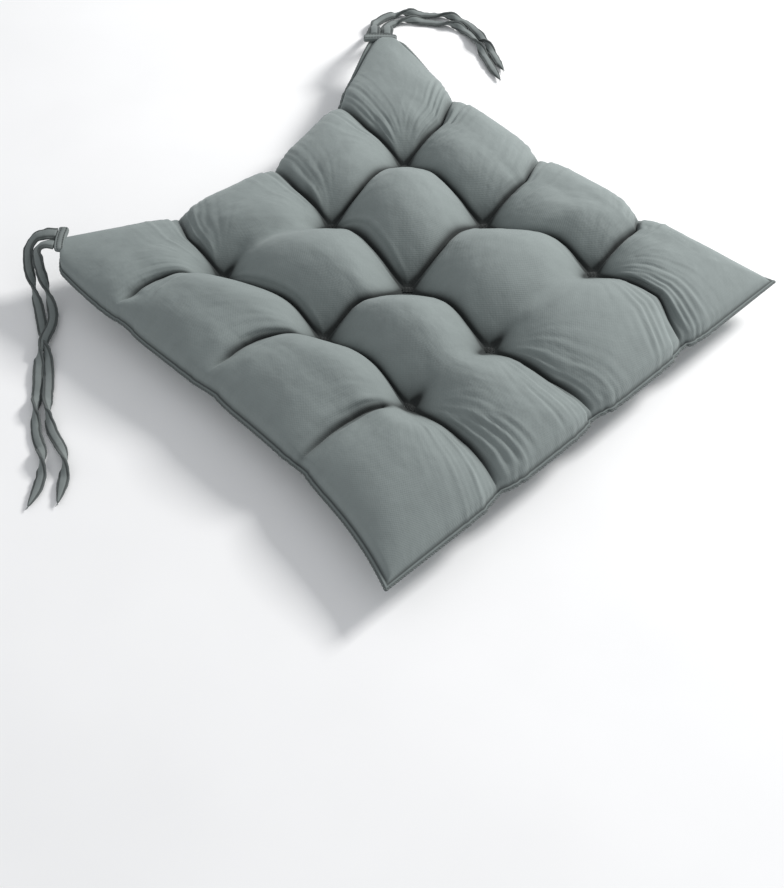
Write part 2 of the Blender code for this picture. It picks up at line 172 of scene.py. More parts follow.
# The simulation: its grid and frames, how firmly it holds the loose fabric, how far it may move a point,
# and how much of the sides' bow the flat cloth is cut with.
SIM_CELLS = 110
SIM_FRAMES = 22
SOFT_HOLD = 0.05
SIM_CAP = 8 * MM
CUT_PULL = 0.3
CLOTH = {
    "quality": 5, "mass": 0.3, "air_damping": 1.0, "bending_model": "ANGULAR", "pin_stiffness": 1.0,
    "tension_stiffness": 15, "compression_stiffness": 15, "shear_stiffness": 5, "bending_stiffness": 0.05,
    "tension_damping": 5, "compression_damping": 5, "shear_damping": 5,
    "use_pressure": True, "uniform_pressure_force": 4.0,
}

# The finished cover's grid: the lines across each cell, how far from the seam they end, and how far from
# it the last few lie, in millimetres.
INNER_LINES = 66
OUTER_LINES = 76
OUTER_END = 6.3 * MM
SEAM_LINES = (5.2, 4.2, 3.3, 2.5, 1.8, 1.2, 0.6, 0)


# ------------ curves


def ease(t):
    """A smooth step from 0 to 1."""
    t = np.clip(t, 0, 1)
    return t * t * (3 - 2 * t)


def hump(distance, width):
    """A smooth hump: 1 at no distance, and next to nothing beyond two widths."""
    return np.exp(-((distance / width) ** 2))


# ------------ materials


def new_material(name):
    """(material, its node tree, its Principled BSDF)."""
    material = bpy.data.materials.new(name)
    material.use_nodes = True
    tree = material.node_tree
    return material, tree, tree.nodes["Principled BSDF"]


def add_node(tree, kind, inputs=(), **settings):
    """A node of that kind, with its settings, and its inputs set to numbers or linked from sockets."""
    node = tree.nodes.new(kind)
    for key, value in settings.items():
        setattr(node, key, value)
    for key, value in dict(inputs).items():
        if isinstance(value, bpy.types.NodeSocket):
            tree.links.new(value, node.inputs[key])
        else:
            node.inputs[key].default_value = value
    return node


def maths(tree, operation, a, b=0.0, clamp=False):
    """One step of arithmetic, as a socket."""
    node = add_node(tree, "ShaderNodeMath", {0: a, 1: b}, operation=operation, use_clamp=clamp)
    return node.outputs[0]


def swing(tree, value, middle, gain):
    """How far a value is from its middle, times that gain, as a socket."""
    return maths(tree, "MULTIPLY", maths(tree, "SUBTRACT", value, middle), gain)


def noise_at(tree, vector, scale, detail=2.0, rough=0.5):
    """Fractal noise from 0 to 1, as a socket."""
    inputs = {"Vector": vector, "Scale": scale, "Detail": detail, "Roughness": rough}
    return add_node(tree, "ShaderNodeTexNoise", inputs).outputs["Fac"]


def stretched(tree, vector, scale):
    """The vector with each axis scaled."""
    return add_node(tree, "ShaderNodeMapping", {"Vector": vector, "Scale": scale}).outputs["Vector"]


def bump(tree, height, strength, distance, **under):
    """The surface's normal with that relief on it, as a socket."""
    inputs = {"Height": height, "Strength": strength, "Distance": distance, **under}
    return add_node(tree, "ShaderNodeBump", inputs).outputs["Normal"]


def ramp(tree, fac, stops):
    """A colour ramp through (place, colour) stops."""
    node = add_node(tree, "ShaderNodeValToRGB", {"Fac": fac})
    elements = node.color_ramp.elements
    while len(elements) < len(stops):
        elements.new(0.5)
    for element, (place, colour) in zip(elements, stops):
        element.position = place
        element.color = (*colour, 1)
    return node.outputs["Color"]


def shade(colour, factor):
    """A colour made lighter or darker."""
    return tuple(c * factor for c in colour)


def woven_fabric(name, colour, yarn, mottle, nap):
    """A brushed plain weave: crossed yarns of that pitch, slubs along both, and a soft uneven nap. It is
    darkened by painted shade where the painted_shade attribute says that it lies in a fold, a furrow or at a
    tuft."""
    material, tree, shader = new_material(name)
    cloth = add_node(tree, "ShaderNodeUVMap", uv_map="cloth").outputs["UV"]
    axes = add_node(tree, "ShaderNodeSeparateXYZ", {0: cloth})
    warp = maths(tree, "SINE", maths(tree, "MULTIPLY", axes.outputs[0], math.pi / yarn))
    weft = maths(tree, "SINE", maths(tree, "MULTIPLY", axes.outputs[1], math.pi / yarn))
    weave = maths(tree, "MULTIPLY", warp, weft)
    slub_warp = noise_at(tree, stretched(tree, cloth, (1 / yarn, 0.06 / yarn, 1)), 1.0)
    slub_weft = noise_at(tree, stretched(tree, cloth, (0.06 / yarn, 1 / yarn, 1)), 1.0)
    slubs = maths(tree, "ADD", slub_warp, slub_weft)
    patches = noise_at(tree, cloth, 75.0, 4.0, 0.6)
    clouds = noise_at(tree, cloth, 14.0, 2.0, 0.5)
    shadow = add_node(tree, "ShaderNodeAttribute", attribute_name="painted_shade").outputs["Fac"]

    tone = swing(tree, slubs, 1.0, 0.28 * mottle)
    tone = maths(tree, "ADD", tone, swing(tree, patches, 0.5, 0.9 * mottle))
    tone = maths(tree, "ADD", tone, swing(tree, clouds, 0.5, 0.5 * mottle))
    tone = maths(tree, "ADD", tone, maths(tree, "MULTIPLY", weave, 0.05 * mottle))
    tone = maths(tree, "ADD", tone, 0.5, clamp=True)
    colours = ramp(tree, tone, [(0.0, shade(colour, 0.55)), (0.5, colour), (1.0, shade(colour, 1.30))])
    # Painted shade: the colour loses up to 88% of its value where the painted_shade attribute is 1.
    kept = maths(tree, "SUBTRACT", 1.0, maths(tree, "MULTIPLY", shadow, 0.88))
    shaded = add_node(tree, "ShaderNodeHueSaturation", {"Value": kept, "Color": colours})
    tree.links.new(shaded.outputs["Color"], shader.inputs["Base Color"])

    rough = maths(tree, "ADD", maths(tree, "MULTIPLY", patches, 0.12), 0.80)
    tree.links.new(rough, shader.inputs["Roughness"])
    shader.inputs["Sheen Weight"].default_value = nap
    shader.inputs["Sheen Roughness"].default_value = 0.45
    shader.inputs["Sheen Tint"].default_value = (*[min(1, c * 2.2 + 0.3) for c in colour], 1)
    shader.inputs["Specular IOR Level"].default_value = 0.2

    height = maths(tree, "ADD", maths(tree, "MULTIPLY", slubs, 0.7), maths(tree, "MULTIPLY", weave, 0.5))
    fine = bump(tree, height, 0.35, 0.25 * MM)
    creased = noise_at(tree, cloth, 110.0, 3.0, 0.55)
    tree.links.new(bump(tree, creased, 0.35, 1.2 * MM, Normal=fine), shader.inputs["Normal"])
    return material


def yarn_material(name, colour, twist):
    """Plied thread: its plies wind round it, with painted shade in the grooves between them."""
    material, tree, shader = new_material(name)
    cloth = add_node(tree, "ShaderNodeUVMap", uv_map="cloth").outputs["UV"]
    axes = add_node(tree, "ShaderNodeSeparateXYZ", {0: cloth})
    along = maths(tree, "MULTIPLY", axes.outputs[0], 2 * math.pi / twist)
    around = maths(tree, "MULTIPLY", axes.outputs[1], 4 * math.pi)
    plies = maths(tree, "SINE", maths(tree, "ADD", along, around))
    fuzz = noise_at(tree, stretched(tree, cloth, (900, 3, 1)), 1.0, 3.0, 0.6)
    plied = maths(tree, "MULTIPLY", plies, 0.3)
    tone = maths(tree, "ADD", plied, maths(tree, "MULTIPLY", fuzz, 0.8), clamp=True)
    colours = ramp(tree, tone, [(0.0, shade(colour, 0.5)), (0.5, colour), (1.0, shade(colour, 1.6))])
    tree.links.new(colours, shader.inputs["Base Color"])
    shader.inputs["Roughness"].default_value = 0.75
    shader.inputs["Sheen Weight"].default_value = 0.05
    tree.links.new(bump(tree, plies, 0.6, 0.2 * MM), shader.inputs["Normal"])
    return material


def fibre_material(name):
    """Loose polyester fibre."""
    material, tree, shader = new_material(name)
    place = add_node(tree, "ShaderNodeTexCoord").outputs["Object"]
    fibres = noise_at(tree, stretched(tree, place, (300, 60, 200)), 1.0, 5.0, 0.7)
    colours = ramp(tree, fibres, [(0.3, (0.62, 0.62, 0.60)), (0.7, (0.90, 0.90, 0.88))])
    tree.links.new(colours, shader.inputs["Base Color"])
    shader.inputs["Roughness"].default_value = 0.95
    tree.links.new(bump(tree, fibres, 0.8, 2 * MM), shader.inputs["Normal"])
    return material


# ------------ meshes


def new_object(name, data):
    """An object of that data, in the scene."""
    obj = bpy.data.objects.new(name, data)
    bpy.context.scene.collection.objects.link(obj)
    return obj


def mesh_object(name, points, faces, material, cloth, painted_shade=None):
    """A smooth mesh piece. cloth is each vertex's place on the flat fabric, in metres, and painted_shade is
    how much painted shade it gets for lying in a fold or furrow, from 0 to 1."""
    mesh = bpy.data.meshes.new(name)
    mesh.from_pydata([tuple(p) for p in points], [], [tuple(f) for f in faces])
    layer = mesh.uv_layers.new(name="cloth")
    loops = np.empty(len(mesh.loops), np.int32)
    mesh.loops.foreach_get("vertex_index", loops)
    layer.data.foreach_set("uv", np.asarray(cloth, np.float32)[loops].ravel())
    # Painted shade per vertex, read by the fabric material to darken its colour.
    if painted_shade is not None:
        depths = mesh.attributes.new("painted_shade", "FLOAT", "POINT")
        depths.data.foreach_set("value", np.asarray(painted_shade, np.float32))
    mesh.shade_smooth()
    mesh.materials.append(material)
    return new_object(name, mesh)


def finish_piece(piece, node):
    """The piece rides on the pad and stands for that CAD node."""
    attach(piece, "root")
    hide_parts(node)


def catmull_rom(a, b, c, d, t):
    """The point at t between b and c."""
    return 0.5 * (2 * b + (c - a) * t + (2 * a - 5 * b + 4 * c - d) * t * t + (3 * b - a - 3 * c + d) * t**3)


def smooth_route(points, spacing):
    """Points about that far apart along a smooth curve through the given ones."""
    p = [np.array(q, float) for q in points]
    p = [2 * p[0] - p[1], *p, 2 * p[-1] - p[-2]]
    steps = np.linspace(0, 1, 24, endpoint=False)
    dense = [catmull_rom(*p[k : k + 4], t) for k in range(len(p) - 3) for t in steps]
    dense = np.array(dense + [p[-2]])
    run = lengths_along(dense)
    count = max(2, int(round(run[-1] / spacing)) + 1)
    want = np.linspace(0, run[-1], count)
    return np.stack([np.interp(want, run, dense[:, k]) for k in range(3)], axis=1)


def lengths_along(route):
    """How far along the route each of its points is."""
    return np.concatenate([[0], np.cumsum(np.linalg.norm(np.diff(route, axis=0), axis=1))])


def unit(v):
    """The vectors at length 1."""
    return v / np.maximum(np.linalg.norm(v, axis=-1, keepdims=True), 1e-12)


def route_frames(route):
    """(along, across, over) at each point of a route. Across is level, and where the route is too steep for
    that, it is the nearest point's."""
    along = unit(np.gradient(route, axis=0))
    across = np.cross(along, (0.0, 0.0, 1.0))
    across[np.linalg.norm(across, axis=1) < 0.15] = np.nan
    for order, beside in ((range(1, len(across)), -1), (range(len(across) - 2, -1, -1), 1)):
        for k in order:
            if np.isnan(across[k]).any():
                across[k] = across[k + beside]
    across = unit(across - along * np.sum(across * along, axis=1, keepdims=True))
    return along, across, np.cross(across, along)


def swept(rings):
    """(points, faces) of a closed tube through rings of as many points each, with a fan at each end."""
    rings = np.asarray(rings)
    n, m = rings.shape[:2]
    points = rings.reshape(-1, 3)
    faces = [
        (k * m + j, k * m + (j + 1) % m, (k + 1) * m + (j + 1) % m, (k + 1) * m + j)
        for k in range(n - 1)
        for j in range(m)
    ]
    points = np.vstack([points, rings[0].mean(0), rings[-1].mean(0)])
    first, last = n * m, n * m + 1
    faces += [(first, (j + 1) % m, j) for j in range(m)]
    faces += [(last, (n - 1) * m + j, (n - 1) * m + (j + 1) % m) for j in range(m)]
    return points, faces


def tube(route, radius, sides):
    """(points, faces, cloth) of a round thread along the route; radius may vary along it."""
    radius = np.broadcast_to(radius, len(route))
    across, over = route_frames(route)[1:]
    angle = np.linspace(0, 2 * math.pi, sides, endpoint=False)
    rings = (
        route[:, None]
        + across[:, None] * (radius[:, None] * np.cos(angle))[..., None]
        + over[:, None] * (radius[:, None] * np.sin(angle))[..., None]
    )
    points, faces = swept(rings)
    run = lengths_along(route)
    cloth = np.array([(s, j / sides) for s in run for j in range(sides)] + [(run[0], 0), (run[-1], 0)])
    return points, faces, cloth


def joined(parts, material):
    """Several (points, faces, cloth) as one, with its material: (points, faces, material, cloth)."""
    points, faces, cloth, start = [], [], [], 0
    for p, f, c in parts:
        points.append(p)
        faces += [tuple(i + start for i in face) for face in f]
        cloth.append(c)
        start += len(p)
    return np.vstack(points), faces, material, np.vstack(cloth)


# ------------ camera, floor and light


def aim(obj, target):
    """Turns a camera or a light towards a point."""
    obj.rotation_euler = (Vector(target) - obj.location).to_track_quat("-Z", "Y").to_euler()


def add_camera():
    """The camera looks down on the pad over its front left corner."""
    data = bpy.data.cameras.new("camera")
    data.lens = 49.97
    data.sensor_width = 36
    camera = new_object("camera", data)
    camera.location = (-0.4894, -0.5092, 0.7405)
    aim(camera, (-0.0716, -0.0735, -0.0739))
    bpy.context.scene.camera = camera


def add_floor():
    """A plain pale floor."""
    material, tree, shader = new_material("studio_floor")
    place = add_node(tree, "ShaderNodeTexCoord").outputs["Object"]
    speckle = noise_at(tree, place, 6.0, 3.0)
    colours = ramp(tree, speckle, [(0.3, (0.88, 0.88, 0.88)), (0.7, (0.92, 0.92, 0.92))])
    tree.links.new(colours, shader.inputs["Base Color"])
    shader.inputs["Roughness"].default_value = 0.9
    half = 6.0
    corners = [(-half, -half, 0), (half, -half, 0), (half, half, 0), (-half, half, 0)]
    floor = mesh_object("studio_floor", corners, [(0, 1, 2, 3)], material, [c[:2] for c in corners])


def add_studio():
    """An even pale sky, one large soft light on the right, and the floor."""
    world = bpy.data.worlds.new("studio")
    bpy.context.scene.world = world
    world.use_nodes = True
    background = world.node_tree.nodes["Background"]
    background.inputs["Color"].default_value = (0.95, 0.97, 1.0, 1)
    background.inputs["Strength"].default_value = 0.60
    data = bpy.data.lights.new("key", "AREA")
    data.energy = 44.5
    data.size = 0.5
    data.color = (1.0, 0.99, 0.98)
    light = new_object("key", data)
    light.location = (1.65, -0.35, 1.15)
    aim(light, (0, 0, 0.03))
    bpy.context.scene.view_settings.view_transform = "Standard"
    add_floor()


# ------------ ties

TAPE_WIDTH = 8.5 * MM
TAPE_THICKNESS = 3.6 * MM
# The route of each tail, from its strip to its tip, in millimetres.
TIES = {
    "tie_left_outer": [
        (-182.5, 199, 47), (-188, 204.5, 47), (-196, 210.5, 44), (-204.5, 211.5, 35), (-211.5, 205, 23),
        (-217, 194.5, 11.5), (-223, 182, 4.5), (-230, 168.5, 2.2), (-237, 154.5, 2.2), (-244, 140.5, 2.2),
        (-252, 126.5, 2.2), (-261, 113, 2.2), (-271, 99.5, 2.2), (-280, 85.5, 2.2), (-287, 70, 2.2),
        (-291, 53, 2.2), (-298, 37.5, 2.2), (-309, 25.5, 2.2), (-321, 14, 2.2),
    ],
    "tie_left_inner": [
        (-191, 190.5, 47), (-196.5, 196, 47), (-202.5, 198.5, 42), (-207, 194, 31.5), (-210.5, 185.5, 19.5),
        (-214.5, 175.5, 9.5), (-220.5, 165.5, 4.3), (-229, 156.5, 5), (-239.5, 148.5, 6.9), (-250, 140, 5.2),
        (-259.5, 129, 2.6), (-268.5, 116.5, 2.2), (-278.5, 103.5, 2.2), (-288.5, 90, 2.2), (-297.5, 75, 2.2),
        (-304, 59, 2.2), (-313, 45.5, 2.2), (-325, 34.5, 2.2), (-338, 26.5, 2.2),
    ],
    "tie_right_outer": [
        (188.5, 222, 40), (194, 227.5, 40), (202, 236.5, 34.5), (209.5, 247.5, 21), (217.5, 258.5, 9),
        (227.5, 268, 3), (240.5, 273.5, 2.2), (254.5, 273.5, 2.2), (267.5, 267, 2.2), (279.5, 255.5, 2.2),
        (291, 241.5, 2.2), (300.5, 226, 2.2), (304, 208, 2.2), (300, 189.5, 2.2), (292.5, 171, 2.2),
        (284.5, 153, 2.2), (276.5, 135, 2.2),
    ],
    "tie_right_inner": [
        (197, 213.5, 40), (202.5, 219, 40), (210.5, 228, 34.5), (218, 238.5, 21), (225.5, 249, 9),
        (234.5, 257.5, 3), (245, 261.5, 2.2), (256, 260, 2.2), (266.5, 252, 2.2), (277, 240, 2.2),
        (286.5, 226.5, 2.2), (293, 212, 2.2), (293, 196.5, 2.2), (287, 180.5, 2.2), (279, 162.5, 2.2),
        (271, 145, 2.2), (263, 127, 2.2),
    ],
}
# How far along each tail the tape flips over, and over what length, in millimetres.
HALF_TURNS = {
    "tie_left_outer": [60, 120, 190, 240],
    "tie_left_inner": [50, 110, 165, 215],
    "tie_right_outer": [75, 120, 165, 225],
    "tie_right_inner": [60, 105, 150, 195],
}
TURN_LENGTH = 34


def tape_roll(run, half_turns, seed):
    """How far the tape is turned about its own line: it flips at each half turn, and wanders a little."""
    roll = np.zeros(len(run))
    for place in half_turns:
        roll += math.pi * ease((run / MM - place) / TURN_LENGTH + 0.5)
    wander = [noise.noise(Vector((s * 28, seed, 0.5))) for s in run]
    return roll + 0.7 * np.array(wander)


def tape_section(width, thickness):
    """The tape's section: two turned-in edges with a stitched furrow inside each, and a raised middle.
    Returns its points and the painted shade of each, in its furrows and towards its edges."""
    across = np.linspace(-1, 1, 17)
    furrow = hump(np.abs(across) - 0.66, 0.11)
    rise = 0.25 + 0.75 * (1 - across**2) ** 0.7 - 0.34 * furrow
    rise[[0, -1]] = 0.12
    upper = [(x * width / 2, z * thickness / 2) for x, z in zip(across, rise)]
    lower = [(x, -z) for x, z in upper[::-1]]
    # Painted shade in the stitched furrows and towards the turned-in edges.
    dark = np.clip(0.75 * furrow + 0.55 * np.clip((np.abs(across) - 0.6) / 0.3, 0, 1), 0, 1)
    return np.array(upper + lower), np.concatenate([dark, dark[::-1]])


def frayed_end(tip, along, across):
    """Three loose threads at the tip of a tape, as parts to join to it."""
    parts = []
    for k in range(3):
        turn = 0.35 * (k - 1)
        bend = along * math.cos(turn) + across * math.sin(turn)
        hair = [tip - along * 3 * MM, tip, tip + bend * 1.5 * MM, tip + bend * (2.4 + 0.5 * k) * MM]
        hair = [(x, y, max(z - 0.15 * MM * j * k, 0.4 * MM)) for j, (x, y, z) in enumerate(hair)]
        hair = smooth_route(hair, 0.8 * MM)
        parts.append(tube(hair, np.linspace(0.35, 0.12, len(hair)) * MM, 6))
    return parts


def build_tie(name, material, seed):
    """One tail of twisted tape: gathered where it leaves its strip, and frayed to a point at its tip."""
    route = smooth_route(np.array(TIES[name]) * MM, 1.6 * MM)
    run = lengths_along(route)
    roll = tape_roll(run, HALF_TURNS[name], seed)
    half_height = TAPE_WIDTH / 2 * np.abs(np.sin(roll)) + TAPE_THICKNESS / 2 * np.abs(np.cos(roll))
    route[:, 2] = np.maximum(route[:, 2], half_height + 0.2 * MM)
    along, across, over = route_frames(route)
    side = across * np.cos(roll)[:, None] + over * np.sin(roll)[:, None]
    face = np.cross(side, along)
    left = np.clip((run[-1] - run) / (16 * MM), 0, 1)
    gathered = 1 + 0.35 * (1 - ease((run - 8 * MM) / (22 * MM)))
    narrow = (0.14 + 0.86 * left**0.75) * gathered
    section, dark = tape_section(TAPE_WIDTH, TAPE_THICKNESS)
    ripple = np.array([[noise.noise(Vector((s * 210, seed + 3.1 * e, 2))) for e in (0, 1)] for s in run])
    rings = []
    for k in range(len(route)):
        rippled = np.where(section[:, 0] > 0, ripple[k, 0], ripple[k, 1])
        wide = section[:, 0] * narrow[k] * (1 + 0.10 * rippled)
        thick = section[:, 1] * (0.45 + 0.55 * narrow[k])
        curl = (section[:, 0] / (TAPE_WIDTH / 2)) ** 2 * 0.7 * MM * ripple[k].sum()
        rings.append(route[k] + np.outer(wide, side[k]) + np.outer(thick + curl, face[k]))
    points, faces = swept(rings)
    reach = lengths_along(section)
    cloth = np.array([(s, r) for s in run for r in reach] + [(run[0], 0), (run[-1], 0)])
    parts = [(points, faces, cloth)] + frayed_end(route[-1], along[-1], across[-1])
    # Painted shade along the tape's furrows and edges; the frayed threads get none.
    painted_shade = np.zeros(sum(len(part[0]) for part in parts))
    painted_shade[: len(route) * len(section)] = np.tile(dark, len(route))
    tie = mesh_object(f"{name}_tape", *joined(parts, material), painted_shade)
    finish_piece(tie, name)


# ------------ the cover's shape


def side_pull(side, along):
    """How far a side is drawn in at a place along it, notched at the creases."""
    bow = (1 - np.abs(along) ** PULL_POWER[side]) * (1 + PULL_SKEW[side] * along)
    notches = sum(hump((along - line * PITCH) * HALF_SIZE, NOTCH_WIDTH) for line in (-1, 0, 1))
    return SIDE_PULL[side] * bow + NOTCH_DEPTH[side] * notches


def square_point(u, v, pull=1.0):
    """Where (u, v) lies in plan before the tufts move it."""
    x = sum((1 + a * u) * (1 + b * v) / 4 * cx for (a, b), (cx, _) in CORNERS.items())
    y = sum((1 + a * u) * (1 + b * v) / 4 * cy for (a, b), (_, cy) in CORNERS.items())
    pull_x = np.where(u > 0, side_pull("right", v), side_pull("left", v))
    pull_y = np.where(v > 0, side_pull("back", u), side_pull("front", u))
    return x - pull * u**3 * pull_x, y - pull * v**3 * pull_y


def blunt_corner(x, y, side):
    """Spreads a back corner's tip, and draws it in to a blunt end for the tie."""
    corner_x, corner_y = CORNERS[side, 1]
    away = np.maximum(0, side * (corner_x - x) + (corner_y - y))
    sideways = side * (corner_x - x) - (corner_y - y)
    spread = sideways * TIP_SPREAD[side] * hump(away, SPREAD_REACH) / 2
    x, y = x - side * spread, y + spread
    drawn = BLUNT_CUT + (BLUNT_START - BLUNT_CUT) * (away / BLUNT_START) ** BLUNT_POWER
    step = np.where(away < BLUNT_START, drawn - away, 0) / 2
    return x - side * step, y - step


def panel_point(u, v, pull=1.0):
    """Where (u, v) lies in plan: the tuft lines bend to pass through the tufts, and bow back at the left."""
    beyond = (-u - PITCH) / (1 - PITCH)
    bow = ease(beyond / 0.6) * (1 - 0.4 * ease(2 * beyond - 1))
    v = v + LEFT_LEAN * bow * (1 - v * v) * (1 + 0.6 * v)
    x, y = square_point(u, v, pull)
    move_x = move_y = weight = 0
    for (column, row), (tx, ty) in TUFTS.items():
        hx, hy = square_point(np.float64(column * PITCH), np.float64(row * PITCH), pull)
        apart = (u - column * PITCH) ** 2 + (v - row * PITCH) ** 2
        share = np.exp(-apart * (HALF_SIZE / TUFT_REACH) ** 2) / (apart + 1e-6)
        move_x = move_x + (tx - hx) * share
        move_y = move_y + (ty - hy) * share
        weight = weight + share
    inside = np.minimum(1, np.minimum(2.4 * (1 - u * u), 2.4 * (1 - v * v)))
    x, y = x + inside * move_x / weight, y + inside * move_y / weight
    for side in (-1, 1):
        x, y = blunt_corner(x, y, side)
    return x, y


def line_distance(c):
    """Metres of fabric from the nearest tuft line."""
    return np.min([np.abs(c - line * PITCH) for line in (-1, 0, 1)], axis=0) * HALF_SIZE


def swell(distance):
    """How full the pad is that far from a crease, from 0 to 1: steep beside it, and level in mid cell."""
    t = 1 - np.clip((distance - CREASE_HALF_WIDTH) / CELL_HALF, 0, 1)
    return np.sqrt(np.clip(1 - t**CELL_POWER, 0, 1))


def eased_distance(distance):
    """That distance, levelling off in mid cell and growing again towards the seam."""
    within = 2 * CELL_HALF / math.pi * np.sin(math.pi / 2 * np.clip(distance / CELL_HALF, 0, 1))
    return within + 13 * MM * ease((distance - CELL_HALF) / (50 * MM))


def crown_share(u, v):
    """The cells along some sides hold less filling and stand lower."""
    right, left, back, front = (ease((c - 0.37) / 0.35) for c in (u, -u, v, -v))
    corner = ease((-u - 0.28) / 0.28) * back
    across = 1 - CROWN_LOSS["right"] * right - CROWN_LOSS["left"] * left - CORNER_LOSS * corner
    return across * (1 - CROWN_LOSS["back"] * back - CROWN_LOSS["front"] * front)


def softened(distance, u, v, kind):
    """The distance from the nearest tuft line, rounded off beside the soft creases."""
    across, along = (v, u) if kind == "row" else (u, v)
    blunt = 0
    for of_kind, line, middle, half_length, softness in SOFT_CREASES:
        if of_kind == kind:
            beside = np.abs(across - line * PITCH) < PITCH / 2
            reach = 1 - np.abs(along / PITCH - middle) / half_length
            blunt = blunt + softness * beside * ease(reach / 0.7)
    return np.sqrt(distance**2 + (SOFT_RADIUS * blunt) ** 2)


def merging(u, v, start, length):
    """From 0 to 1: where the creases to the left seam run out. The front one reaches the seam."""
    return ease((-u - start) / length) * ease((v + 0.35) / 0.2)


def rise(u, v, crown):
    """How far a panel stands from the pad's middle surface."""
    du, dv = line_distance(u), line_distance(v)
    a, b = swell(softened(du, u, v, "column")), swell(softened(dv, u, v, "row"))
    either = a + b - a * b
    away = np.clip(np.hypot(eased_distance(du), eased_distance(dv)) / FUNNEL_RADIUS, 0, 1)
    funnel = 1 - (1 - away) ** FUNNEL_POWER
    to_left = merging(u, v, 0.86, 0.12)
    share = CREASE_SHARE + (1 - CREASE_SHARE) * 0.9 * to_left
    roundness = np.where(u < 0, 2.2 + 2.6 * ease((v - 0.3) / 0.4), 4.0)
    edge = np.sqrt(np.clip((1 - np.abs(u) ** roundness) * (1 - v**4), 0, None))
    full = crown * crown_share(u, v)
    return edge * (CREASE_RISE + (full - CREASE_RISE) * funnel * (share * either + (1 - share) * a * b))


def middle_height(u, v):
    """The height of the pad's middle surface, where its two panels meet at the seam."""
    ear = np.where(u > 0, EAR_LIFT[1], EAR_LIFT[-1]) * (np.abs(u) * np.maximum(0, v)) ** EAR_POWER
    return SEAM_HEIGHT + ear - MIDDLE_SINK * np.maximum(0, (1 - u**4) * (1 - v**4))


def flat_length(c):
    """The flat fabric's own coordinate: there is more of it between tufts than the pad is wide."""
    a = np.abs(c)
    outside = INNER_EASE * PITCH + OUTER_EASE * (a - PITCH)
    return np.sign(c) * HALF_SIZE * np.where(a < PITCH, INNER_EASE * a, outside)


def held_by_tuft(u, v, column, row):
    """Whether (u, v) is in that tuft's grip, measured on the fabric, which is fuller than the pad."""
    return np.hypot(u - column * PITCH, v - row * PITCH) * HALF_SIZE * 1.12 < TUFT_HOLD


def skin_shape(lines):
    """(u, v, points of the upper face, of the lower face) on those grid lines, before the simulation."""
    u, v = np.meshgrid(lines, lines, indexing="ij")
    x, y = panel_point(u, v)
    middle = middle_height(u, v)
    top = np.stack([x, y, middle + rise(u, v, TOP_CROWN)], axis=-1)
    bottom = np.stack([x, y, np.maximum(0.5 * MM, middle - rise(u, v, BOTTOM_CROWN))], axis=-1)
    for (column, row), (tx, ty) in TUFTS.items():
        near = held_by_tuft(u, v, column, row)
        for face, z in ((top, TUFT_TOP), (bottom, TUFT_BOTTOM)):
            face[near, 0] = tx + 0.55 * (face[near, 0] - tx)
            face[near, 1] = ty + 0.55 * (face[near, 1] - ty)
            face[near, 2] = z
    return u, v, top, bottom


def quads(index, upward):
    """The faces of a grid of vertex numbers, facing up or down."""
    corners = [index[:-1, :-1], index[1:, :-1], index[1:, 1:], index[:-1, 1:]]
    return np.stack(corners if upward else corners[::-1], axis=-1).reshape(-1, 4)


def closed_skin(cells):
    """(index of each upper vertex, of each lower vertex, faces) of the closed skin on that grid."""
    size = cells + 1
    upper = np.arange(size * size).reshape(size, size)
    lower = upper.copy()
    lower[1:-1, 1:-1] = size * size + np.arange((size - 2) ** 2).reshape(size - 2, size - 2)
    return upper, lower, np.vstack([quads(upper, True), quads(lower, False)])


def skin_points(upper, lower, top, bottom):
    """The closed skin's vertices, from its two grids: they share the upper one's rim."""
    points = np.zeros((lower.max() + 1, 3))
    points[lower.ravel()] = bottom.reshape(-1, 3)
    points[upper.ravel()] = top.reshape(-1, 3)
    return points


def inflated(start, rest, faces, gripped):
    """Where Cloth's pressure takes the points of a skin. The gripped ones are held, the rest is loose."""
    mesh = bpy.data.meshes.new("skin")
    mesh.from_pydata(start.tolist(), [], faces.tolist())
    skin = new_object("skin", mesh)
    held = skin.vertex_groups.new(name="held")
    held.add(list(range(len(start))), SOFT_HOLD, "REPLACE")
    held.add(gripped, 1.0, "REPLACE")
    skin.shape_key_add(name="Basis")
    flat = skin.shape_key_add(name="flat")
    flat.data.foreach_set("co", rest.ravel())

    cloth = skin.modifiers.new("cloth", "CLOTH")
    for setting, value in CLOTH.items():
        setattr(cloth.settings, setting, value)
    cloth.settings.vertex_group_mass = "held"
    cloth.settings.rest_shape_key = flat
    cloth.settings.effector_weights.gravity = 0
    cloth.collision_settings.use_collision = False
    cloth.collision_settings.use_self_collision = False
    cloth.point_cache.frame_start = 1
    cloth.point_cache.frame_end = SIM_FRAMES + 1
    scene = bpy.context.scene
    for step in range(1, SIM_FRAMES + 1):
        scene.frame_set(step)
    evaluated = skin.evaluated_get(bpy.context.evaluated_depsgraph_get())
    moved = np.empty(start.size)
    evaluated.data.vertices.foreach_get("co", moved)
    scene.frame_set(1)
    bpy.data.objects.remove(skin)
    return moved.reshape(-1, 3)


def simulate(u, v, top, bottom):
    """How Cloth moves the skin when it inflates it: (upper grid, lower grid)."""
    upper, lower, faces = closed_skin(len(u) - 1)
    points = skin_points(upper, lower, top, bottom)
    start = points.copy()
    start[:, 2] += [0.6 * MM * noise.noise(Vector(p) * 190) for p in points]
    x, y = panel_point(u, v, CUT_PULL)
    x = x + flat_length(u) - u * HALF_SIZE
    y = y + flat_length(v) - v * HALF_SIZE
    rest = skin_points(upper, lower, *(np.stack([x, y, 0 * x + z], axis=-1) for z in (0, -MM)))
    near = [held_by_tuft(u, v, column, row) for column, row in TUFTS]
    gripped = [int(k) for tuft in near for k in np.concatenate([upper[tuft], lower[tuft]])]
    move = inflated(start, rest, faces, gripped) - points
    size = np.linalg.norm(move, axis=1, keepdims=True)
    move *= np.minimum(1, SIM_CAP / np.maximum(size, 1e-9))
    return move[upper], move[lower]


